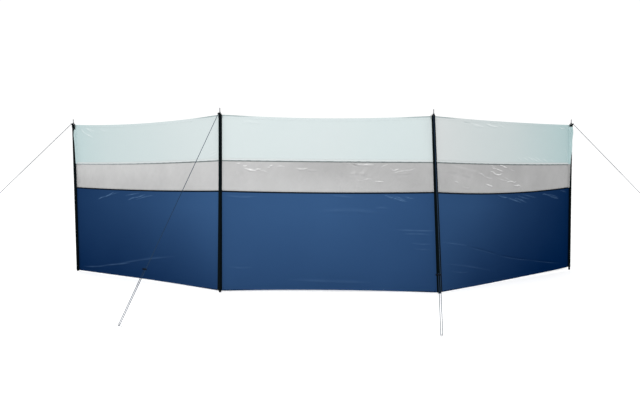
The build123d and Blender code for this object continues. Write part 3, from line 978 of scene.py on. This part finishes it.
class WINDBREAK_OT_seams(PieceOperator):
    """The sewn seams above and below each window"""
    bl_idname = "windbreak.seams"
    bl_label = "Seams"

    def make(self, poles, bays):
        cloth = sizes().cloth
        half = cloth.tape / 2
        fold = Look(cloth_finish("seam fold", *FOLD_COLOURS, gloss=0.1), "mint_hem", mint_shade)
        bead = Look(cloth_finish("seam bead", *BEAD_AND_SHADOW_COLOURS), "mint_hem", bead_and_shadow_shade)
        tape = Look(cloth_finish("seam tape", *TAPE_COLOURS), "navy_hem", navy_shade)
        pale = Look(thread_finish("pale thread", (0.42, 0.46, 0.46)), "mint_hem")
        dark = Look(thread_finish("dark thread", (0.01, 0.02, 0.04)), "navy_hem")
        for bay in bays:
            strip_piece(bay, "seam_fold", "high", -0.001, cloth.fold, fold, out=-0.0005, thickness=0.0007)
            # A dark strip under the upper seam: partly the seam's own line, partly painted shadow in its
            # gap.
            strip_piece(bay, "seam_bead", "high", -cloth.bead, 0.0, bead, out=-0.0003, thickness=0.0008)
            strip_piece(bay, "seam_tape", "low", -half, half, tape, out=-0.0006, thickness=0.0008)
            stitch_row(bay, "fold_stitches", "high", cloth.fold * 0.75, pale, out=-0.0009, inset=0.014)
            stitch_row(bay, "tape_stitches", "low", 0.0, dark, out=-0.0010, inset=0.014)


class WINDBREAK_OT_hems(PieceOperator):
    """The hems folded over the top and bottom edges"""
    bl_idname = "windbreak.hems"
    bl_label = "Hems"

    def make(self, poles, bays):
        mint = Look(mint_finish("mint hem"), "mint_hem", mint_shade)
        navy = Look(navy_finish("navy hem"), "navy_hem", navy_shade)
        pale = Look(bpy.data.materials["pale thread"], "mint_hem")
        dark = Look(bpy.data.materials["dark thread"], "navy_hem")
        sewn = sizes().cloth.hem * 0.88
        for bay in bays:
            hem_piece(bay, "top", 1, mint)
            hem_piece(bay, "bottom", -1, navy)
            stitch_row(bay, "top_stitches", "top", -sewn, pale, out=-0.0004, inset=0.020)
            stitch_row(bay, "bottom_stitches", "bottom", sewn, dark, out=-0.0004, inset=0.024)


# ---------------------------------------------------------------- the sleeves
# How far each sleeve reaches to its pole's left and right, at the bottom and then at the top. The end
# ones have no flange on the cloth's side, where they close behind the pole.
REACHES = {
    "left_end": (0.0205, 0.0040, 0.0130, 0.0040),
    "left_inner": (0.0300, 0.0125, 0.0122, 0.0125),
    "right_inner": (0.0138, 0.0360, 0.0120, 0.0215),
    "right_end": (0.0040, 0.0205, 0.0040, 0.0130),
}
LEAST_TURN, MOST_TURN = 0.0006, 0.0033  # radius of the turn from a tunnel into its flange
CLOSED = radians(150)  # how far round the pole a tunnel goes where it has no flange
FOLLOW = 0.0035  # how far past its tunnel a flange first lies as the cloth does
SLEEVE_WEAVE, SLEEVE_FLAT = 0.060, 0.062  # width of a sleeve's weave, and of its webbing laid out flat
SLEEVE_ENDS = 0.01  # bare of stitches at each end of a sleeve
GATHERED = 0.006  # how far behind the pole's axis the gathers end


def tunnel_of(pole):
    """The radius of a sleeve's tunnel."""
    return sizes().sleeve.tunnel + (sizes().sleeve.slack if pole.index == 0 else 0.0)


def sleeve_outline(pole, z):
    """The sleeve's outline at one height, from its left edge to its right, as (across, away) pairs."""
    radius = tunnel_of(pole)
    face = sizes().cloth.behind - sizes().sleeve.cloth * 0.7
    reaches = REACHES[pole.name]
    sides = []
    for low, top in zip(reaches[:2], reaches[2:]):
        reach = blend(low, top, pole.up_sleeve(z))
        if reach > radius:
            turn = min(MOST_TURN, max((reach - radius) * 0.7, LEAST_TURN))
            side = arc(0.0, 0.0, radius, -pi / 2, 0.0, 8)
            side += arc(radius + turn, face - turn, turn, pi, pi / 2, 4)
        else:
            side = arc(0.0, 0.0, radius, -pi / 2, CLOSED - pi / 2, 13)
        x, y = side[-1]
        side += [(blend(x, reach, k / 3), blend(y, face, k / 3)) for k in (1, 2, 3)]
        sides.append(side)
    return [(-x, y) for x, y in reversed(sides[0][1:])] + sides[1]


def sleeve_points(pole, z, x, y):
    """Places of the sleeve, across and away from the pole's axis, bent with the cloth at its edges."""
    follow = smooth((np.abs(x) - tunnel_of(pole)) / FOLLOW)
    return pole.axis(z) + times(x, pole.side) + times(y + follow * np.abs(x) * pole.bend, pole.away)


class WINDBREAK_OT_sleeves(PieceOperator):
    """The webbing sleeves that the poles slide into, with their sewing"""
    bl_idname = "windbreak.sleeves"
    bl_label = "Sleeves"

    def make(self, poles, bays):
        webbing = Look(webbing_finish("sleeve webbing", SLEEVE_RIB), "black_webbing")
        thread = Look(thread_finish("sleeve thread", (0.006, 0.007, 0.008)), "black_webbing")
        for pole in poles:
            self.sleeve(pole, webbing)
            self.sewing(pole, thread)

    def sleeve(self, pole, webbing):
        sleeve = sizes().sleeve
        low, top = pole.sleeve_low, pole.sleeve_top
        outlines = np.array([sleeve_outline(pole, z) for z in np.linspace(low, top, sleeve.rows + 1)])
        columns = outlines.shape[1] - 1
        hand = Random(pole.index + 11)
        gathers = [(hand.uniform(90.0, 260.0), hand.uniform(0.0, 2 * pi)) for _ in range(3)]

        def place(s, t):
            z = blend(low, top, t)
            x, y = outlines[nearest(t, sleeve.rows), nearest(s, columns)].T
            slack = sum(np.sin(rate * z + phase + 4.0 * x) for rate, phase in gathers) / 3
            front = smooth((GATHERED - y) / (2 * GATHERED))
            return sleeve_points(pole, z, x, y - sleeve.pucker * slack * front)

        mesh = warped(pole.name + "_sleeve_webbing", columns, sleeve.rows, place, SLEEVE_WEAVE, top - low)
        piece = finish_piece(mesh, webbing, pole.name + "_sleeve")
        thicken(piece, sleeve.cloth)
        top - low

    def sewing(self, pole, thread):
        pitch, depth = sizes().cloth.stitch, sizes().sleeve.cloth * 0.55
        spots = []
        for k in range(int((pole.sleeve_top - pole.sleeve_low - 2 * SLEEVE_ENDS) / pitch)):
            z = pole.sleeve_low + SLEEVE_ENDS + (k + 0.5) * pitch
            outline = sleeve_outline(pole, z)
            for x, y in (outline[2], outline[-3]):
                here, ahead = (sleeve_points(pole, height, x, y - depth) for height in (z, z + 0.01))
                spots.append((here, ahead - here, -pole.away))
        finish_piece(stitches(pole.name + "_sleeve_stitches", spots), thread)


# How far round each end sleeve the cloth is drawn: (height, degrees from the cloth's side).
TURNS = {
    "left_end": [(1.03, -10), (1.10, 4), (1.20, 16), (1.26, 32), (1.30, 44), (1.335, 34), (1.36, 6)],
    "right_end": [(0.80, 0), (0.83, 4), (0.90, 10), (1.00, 20), (1.07, 36), (1.12, 60), (1.17, 125),
                  (1.41, 150)],
}
LEFT_SHORT, RIGHT_SHORT = 0.045, 0.018  # how far below the sleeves' tops the wraps end
BILLOW = 1.335, 0.055  # where the right end's wrap billows, and over what height
CRUMPLED = 1.32, 0.05  # where the wraps' crumples start to catch more light, and over what height
CRUMPLE = 0.0006  # height of the crumples
WRAP_CLOTH = 0.0007  # thickness of the wraps
WRAP_BEHIND = 0.0004  # how far behind the cloth's face they start
WRAP_COLUMNS, WRAP_ROW = 22, 0.005  # columns of their mesh, and the height of its rows


class WINDBREAK_OT_wraps(PieceOperator):
    """The cloth's ends, drawn round the sleeves of the two end poles"""
    bl_idname = "windbreak.wraps"
    bl_label = "End wraps"

    def make(self, poles, bays):
        mint = Look(bpy.data.materials["mint cloth"], "mint_cloth", mint_shade)
        film = Look(bpy.data.materials["window film"], "window_film", film_shade)
        first, last = bays[0], bays[-1]
        seam = last.level("high", 1.0)
        self.wrap(first, 1, first.level("high", 0.0), poles[0].sleeve_top - LEFT_SHORT, "upper", mint)
        self.wrap(last, -1, seam, poles[-1].sleeve_top - RIGHT_SHORT, "upper", mint)
        self.wrap(last, -1, last.level("low", 1.0), seam, "window", film)

    def wrap(self, bay, way, low, top, band, look):
        """way is 1 where the cloth lies on the pole's right, and -1 on its left."""
        sleeve = sizes().sleeve
        pole, u = (bay.left, 0.0) if way > 0 else (bay.right, 1.0)
        heights, turns = np.array(TURNS[pole.name]).T
        round_r = tunnel_of(pole) + sleeve.wrap_lift
        start = np.array((sleeve.wrap_start, sizes().cloth.behind + WRAP_BEHIND))
        touch = np.arccos(round_r / np.linalg.norm(start)) - np.arctan2(start[1], start[0])

        def course(z):
            """How far round it goes, where it meets the sleeve, the straight run there, and its length."""
            turn = np.radians(np.interp(z, heights, turns))
            meet = np.minimum(turn, touch)
            span = np.stack((round_r * np.cos(meet), -round_r * np.sin(meet)), axis=-1) - start
            run = np.hypot(span[..., 0], span[..., 1])
            return meet, span, run, run + round_r * (turn - meet)

        def place(s, t):
            z = blend(low, top, t)
            meet, span, run, whole = course(z)
            swell = sleeve.bulge * bell(z, *BILLOW) if way < 0 else 0.0
            crumple = CRUMPLE * np.sin(70.0 * z + 5.0 * s) * s
            radius = round_r + (swell + crumple) * smooth(s * 1.6)
            gone = s * whole
            far = meet + np.maximum(gone - run, 0.0) / round_r
            line = start + span * np.minimum(gone / run, 1.0)[:, None]
            bow = np.stack((radius * np.cos(far), -radius * np.sin(far)), axis=1)
            x, y = np.where((gone > run)[:, None], bow, line).T
            return pole.axis(z) + times(way * x, pole.side) + times(y, pole.away)

        def tint(s, t):
            z = blend(low, top, t)
            # Painted highlights along the crumples, brighter near the top, over painted shade across the
            # whole wrap.
            ridge = np.maximum(np.sin(60.0 * z + 8.0 * s), 0.0) ** 2
            crumpled = (0.3 + 0.9 * smooth((z - CRUMPLED[0]) / CRUMPLED[1])) * s * ridge
            return crumpled - 0.12, look.shade(bay, u, z)

        tall = top - low
        width = float(course(np.linspace(low, top, 20))[3].mean())
        rows = ceil(tall / WRAP_ROW)
        mesh = warped(f"{pole.name}_{band}_wrap", WRAP_COLUMNS, rows, place, width, tall, tint)
        if way > 0:
            mesh.flip_normals()
        piece = finish_piece(mesh, look)
        thicken(piece, WRAP_CLOTH)


EYELET = 0.0068  # radius of the eyelet's ring
EYELET_HALF, EYELET_RISE = 0.0014, 0.0012  # half the width and half the height of its rim
EYELET_SEAT = 0.0002  # height of the rim's middle over the strap
STRAP_CORNER, STRAP_CROWN = 0.004, 0.0004  # radius of the strap's corners, and rise of its middle
STRAP_LONG = 0.09  # length of the strap's weave


class WINDBREAK_OT_loops(PieceOperator):
    """The webbing loops over the poles' tops, each with its eyelet round the pin"""
    bl_idname = "windbreak.loops"
    bl_label = "Loops"

    def make(self, poles, bays):
        webbing = Look(webbing_finish("loop webbing", LOOP_RIB), "black_webbing")
        dull = Look(steel_finish("eyelet", (0.06, 0.06, 0.06), 0.5), "pin_steel")
        rim = [(EYELET + EYELET_HALF * x, EYELET_RISE * y) for x, y in arc(0.0, 0.0, 1.0, 0.0, 2 * pi, 10)]
        for pole in poles:
            self.strap(pole, webbing)
            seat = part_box(pole.name + "_loop")[1].z
            centre = Vector((*pole.head[:2], seat + EYELET_SEAT))
            finish_piece(spun(pole.name + "_eyelet", rim, centre), dull)

    def strap(self, pole, webbing):
        sleeve = sizes().sleeve
        low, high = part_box(pole.name + "_loop")
        centre = np.array((*pole.head[:2], 0.0))
        offs = [(np.array(vert.co) - centre) @ pole.away
                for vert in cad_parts[pole.name + "_loop"].data.vertices]
        half = sleeve.strap_thick / 2
        near, far = min(offs) + half, max(offs) - half
        corners = [(near, low.z), (near, high.z - half), (far, high.z - half), (far, low.z)]
        path = rounded([Vector((*corner, 0.0)) for corner in corners], STRAP_CORNER, 5)
        rows = len(path) - 1
        back, rise = np.array(path)[:, :2].T

        def place(s, t):
            k = nearest(t, rows)
            up = times(rise[k] + STRAP_CROWN * np.sin(pi * s), np.array(UP))
            return centre + times(back[k], pole.away) + times((s - 0.5) * sleeve.strap, pole.side) + up

        mesh = warped(pole.name + "_strap", 10, rows, place, sleeve.strap, STRAP_LONG)
        thicken(finish_piece(mesh, webbing, pole.name + "_loop"), sleeve.strap_thick)


# ---------------------------------------------------------------- guys, pegs and fittings
class Guy:
    """A guy's knot, line and peg, read from its nodes."""

    def __init__(self, pole):
        cord = sizes().cord
        self.name = pole.name
        eye_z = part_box(pole.name + "_guy")[1].z - cord.knot
        self.axis = Vector((*pole.head[:2], eye_z))
        tip = min(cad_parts[pole.name + "_peg"].data.vertices, key=lambda vert: vert.co.z).co
        out = Vector((tip.x - self.axis.x, tip.y - self.axis.y, 0.0)).normalized()
        self.shaft = out * cos(cord.peg_rise) + UP * sin(cord.peg_rise)
        self.turn = out * sin(cord.peg_rise) - UP * cos(cord.peg_rise)
        self.hold = tip + self.shaft * cord.peg_length
        self.ground = self.hold + UP.cross(out) * cord.loop
        self.out = Vector((self.ground.x - self.axis.x, self.ground.y - self.axis.y, 0.0)).normalized()
        self.knot = self.axis + self.out * cord.knot_out - UP * cord.knot_drop
        self.pull = (self.ground - self.knot).normalized()
        self.across = UP.cross(self.pull).normalized()
        self.over = self.pull.cross(self.across)
        self.runner = sum(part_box(pole.name + "_runner"), Vector()) / 2


EYE_INSIDE = 0.0053  # inner radius of the eye, a little more than the pin's
EYE_DEEP, EYE_APART = 0.0020, 0.0023  # how far the eye's ends lie in the knot, and beside its middle
TAIL_SPRING, TAIL_DROP = 0.004, 0.010  # how far a knot's tail springs up, and then droops
STOP_ROUND, STOP_RISE = 0.0022, 0.0018  # radius of the stop knot's turns, and how far they rise and fall
LINE_PAST, STOP_PAST = 0.0060, 0.0068  # from the runner's middle to the line's end and its knot


class WINDBREAK_OT_guys(PieceOperator):
    """The guy lines with their eyes, knots and the loops round the pegs"""
    bl_idname = "windbreak.guys"
    bl_label = "Guy lines"

    def make(self, poles, bays):
        grey = Look(cord_finish("guy cord", sizes().colour.cord), "grey_cord")
        black = Look(cord_finish("knot cord", sizes().colour.webbing), "black_webbing")
        for pole in poles:
            guy = Guy(pole)
            finish_piece(self.line(guy, sizes().cord), grey, pole.name + "_guy")
            for part in (self.eye, self.knot, self.tail):
                finish_piece(part(guy, sizes().cord), black)
            finish_piece(self.stop(guy, sizes().cord), grey)

    def line(self, guy, cord):
        """From the knot down to the peg, round it and back up through the runner."""
        hold = guy.ground - guy.across * cord.loop
        spread = [hold + (guy.across * cos(a) + guy.pull * sin(a)) * cord.loop
                  for a in np.linspace(0.0, pi, 11)]
        up = guy.runner - guy.pull * LINE_PAST
        return tube(guy.name + "_line", [guy.knot, *spread, up], cord.cord)

    def eye(self, guy, cord):
        """Round the pin and back into the knot."""
        side = UP.cross(guy.out)
        back = [guy.axis + (guy.out * cos(a) + side * sin(a)) * (EYE_INSIDE + cord.cord)
                for a in np.linspace(radians(62), radians(298), 21)]
        first, last = (guy.knot - guy.out * EYE_DEEP + side * EYE_APART * way for way in (1, -1))
        return tube(guy.name + "_eye", [first, *back, last], cord.cord)

    def knot(self, guy, cord):
        """A tight knot of the cord's own strands."""
        ring = []
        for a in np.linspace(0.0, 2 * pi, 73):
            radius = cord.knot * (0.62 + 0.30 * cos(3 * a))
            ring.append(guy.knot + (guy.across * cos(2 * a) + guy.over * sin(2 * a)) * radius
                        + guy.pull * sin(3 * a) * cord.knot * 0.55)
        return tube(guy.name + "_knot", ring, cord.cord, sides=10)

    def tail(self, guy, cord):
        """The knot's cut end, which springs out sideways."""
        way = guy.across * (cord.tail if POLES.index(guy.name) % 2 else -cord.tail)
        steps = [guy.knot + way * part + UP * (TAIL_SPRING * sin(1.7 * part) - TAIL_DROP * part ** 2)
                 for part in (k / 8 for k in range(9))]
        return tube(guy.name + "_tail", steps, cord.cord * 0.8, sides=10,
                    taper=lambda part: 1.0 if part < 0.85 else 1.12)

    def stop(self, guy, cord):
        """The knot that keeps the line's end from slipping through the runner."""
        centre = guy.runner - guy.pull * STOP_PAST
        ring = [centre + (guy.across * cos(a) + guy.over * sin(a)) * STOP_ROUND
                + guy.pull * STOP_RISE * sin(2 * a) for a in np.linspace(0.0, 2 * pi, 25)]
        return tube(guy.name + "_stop", ring, cord.cord * 0.95, sides=10)


PEG_POINT = 0.014  # length of the peg's point


class WINDBREAK_OT_pegs(PieceOperator):
    """The driven pegs with their hooks"""
    bl_idname = "windbreak.pegs"
    bl_label = "Pegs"

    def make(self, poles, bays):
        cord = sizes().cord
        steel = Look(steel_finish("peg steel", sizes().colour.zinc, 0.42), "peg_steel")
        for pole in poles:
            guy = Guy(pole)
            centre = guy.hold + guy.shaft * cord.peg_neck + guy.turn * cord.hook
            bend = [centre + (guy.turn * -cos(a) + guy.shaft * sin(a)) * cord.hook
                    for a in np.linspace(0.0, pi, 17)]
            point = guy.hold - guy.shaft * cord.peg_length
            shoulder = point + guy.shaft * PEG_POINT
            line = [point, shoulder, guy.hold, *bend, bend[-1] - guy.shaft * cord.hook_end]
            mesh = tube(pole.name + "_peg_wire", line, cord.peg, sides=16,
                        taper=lambda part: 0.2 if part == 0 else 1.0)
            finish_piece(mesh, steel, pole.name + "_peg")


FOOT_EDGE, FOOT_SHOULDER = 0.0026, 0.0020  # radius of the foot's lower and upper edge
FOOT_HOLLOW = 0.0006  # depth of the ring under the foot
GROOVES, GROOVE_HALF = (0.0040, 0.0064, 0.0088), 0.0006  # start and half height of the grooves round it
GROOVE_FLOOR = 0.965  # radius of the grooves' floor by the foot's own


class WINDBREAK_OT_feet(PieceOperator):
    """The moulded rubber feet"""
    bl_idname = "windbreak.feet"
    bl_label = "Feet"

    def make(self, poles, bays):
        rubber = Look(moulded_finish("foot rubber", sizes().colour.rubber, 0.65), "black_rubber")
        for pole in poles:
            low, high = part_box(pole.name + "_foot")
            radius, tall = (high.x - low.x) / 2, pole.low
            outline = [(0.0, 0.0), (radius * 0.45, 0.0), (radius * 0.50, FOOT_HOLLOW),
                       (radius * 0.58, FOOT_HOLLOW), (radius * 0.63, 0.0), (radius * 0.80, 0.0)]
            outline += arc(radius - FOOT_EDGE, FOOT_EDGE, FOOT_EDGE, -pi * 2 / 5, 0.0, 4)
            for z in GROOVES:
                outline += [(radius, z), (radius * GROOVE_FLOOR, z + GROOVE_HALF),
                            (radius, z + 2 * GROOVE_HALF)]
            outline += arc(radius - FOOT_SHOULDER, tall - FOOT_SHOULDER, FOOT_SHOULDER, 0.0, pi / 2, 4)
            outline.append((0.0, tall))
            mesh = spun(pole.name + "_rubber", outline, Vector((*pole.foot[:2], 0.0)), 48)
            finish_piece(mesh, rubber, pole.name + "_foot")


class WINDBREAK_OT_metalwork(PieceOperator):
    """Finishes on the poles, pins and runners, which keep the frame's own shapes"""
    bl_idname = "windbreak.metalwork"
    bl_label = "Poles, pins and runners"

    def make(self, poles, bays):
        finishes = {
            "_pole": coat_finish(),
            "_pin": steel_finish("pin steel", sizes().colour.steel, 0.32),
            "_runner": moulded_finish("runner plastic", sizes().colour.runner, 0.4)}
        for pole in poles:
            for part, material in finishes.items():
                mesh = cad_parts[pole.name + part].data
                mesh.materials.clear()
                mesh.materials.append(material)


# ---------------------------------------------------------------- the stage
FLOOR_HALF, FLOOR_DOWN = 60.0, 0.0005  # half the floor's side, and how far it lies below the feet
SENSOR = 36.0  # width of the camera's sensor in millimetres
LAMP_PLACE, LAMP_AIM, LAMP_SIDE = Vector((-0.4, -5.5, 4.2)), Vector((1.0, 0.0, 0.7)), 4.5


class WINDBREAK_OT_stage(bpy.types.Operator):
    """The floor, the soft light and the camera"""
    bl_idname = "windbreak.stage"
    bl_label = "Stage"

    def execute(self, context):
        self.scene = context.scene
        self.floor()
        self.light(sizes().stage)
        self.camera(sizes().stage)
        self.scene.view_settings.view_transform = "Standard"
        return {"FINISHED"}

    def put(self, name, data):
        holder = bpy.data.objects.new(name, data)
        self.scene.collection.objects.link(holder)
        return holder

    def floor(self):
        bm = bmesh.new()
        bmesh.ops.create_grid(bm, x_segments=2, y_segments=2, size=FLOOR_HALF)
        bmesh.ops.translate(bm, verts=bm.verts, vec=(0.0, 0.0, -FLOOR_DOWN))
        floor = self.put("floor", mesh_of(bm, "floor"))
        floor.data.materials.append(floor_finish())

    def light(self, stage):
        """Even white light from all round, and a large lamp in front."""
        self.scene.world = bpy.data.worlds.new("studio")
        self.scene.world.use_nodes = True
        sky = self.scene.world.node_tree.nodes["Background"].inputs
        sky["Color"].default_value = (1.0, 1.0, 1.0, 1.0)
        sky["Strength"].default_value = stage.sky
        lamp = bpy.data.lights.new("key", "AREA")
        lamp.energy = stage.key
        lamp.size = LAMP_SIDE
        holder = self.put("key", lamp)
        holder.location = LAMP_PLACE
        holder.rotation_euler = (LAMP_AIM - LAMP_PLACE).to_track_quat("-Z", "Y").to_euler()

    def camera(self, stage):
        eye = bpy.data.cameras.new("camera")
        eye.sensor_width = SENSOR
        eye.lens = stage.lens
        holder = self.put("camera", eye)
        holder.location = stage.eye
        holder.rotation_euler = (pi / 2 - stage.tilt, 0.0, stage.turn)
        self.scene.camera = holder


# ---------------------------------------------------------------- the add-on
STEPS = (WINDBREAK_OT_panels, WINDBREAK_OT_seams, WINDBREAK_OT_hems, WINDBREAK_OT_sleeves,
         WINDBREAK_OT_wraps, WINDBREAK_OT_loops, WINDBREAK_OT_guys, WINDBREAK_OT_pegs,
         WINDBREAK_OT_feet, WINDBREAK_OT_metalwork, WINDBREAK_OT_stage)


class WINDBREAK_PT_pieces(bpy.types.Panel):
    """The windbreak's pieces, in the order in which they are made"""
    bl_idname = "WINDBREAK_PT_pieces"
    bl_label = "Windbreak"
    bl_space_type = "VIEW_3D"
    bl_region_type = "UI"
    bl_category = "Windbreak"

    def draw(self, context):
        for step in STEPS:
            self.layout.operator(step.bl_idname)


CLASSES = (ClothSizes, SleeveSizes, CordSizes, Colours, StageSettings, WindbreakSettings,
           *STEPS, WINDBREAK_PT_pieces)


def register():
    for cls in CLASSES:
        bpy.utils.register_class(cls)
    bpy.types.Scene.windbreak = PointerProperty(type=WindbreakSettings)


def unregister():
    del bpy.types.Scene.windbreak
    for cls in reversed(CLASSES):
        bpy.utils.unregister_class(cls)


def main():
    register()
    for step in STEPS:
        area, name = step.bl_idname.split(".")
        getattr(getattr(bpy.ops, area), name)()


if __name__ == "__main__":
    main()
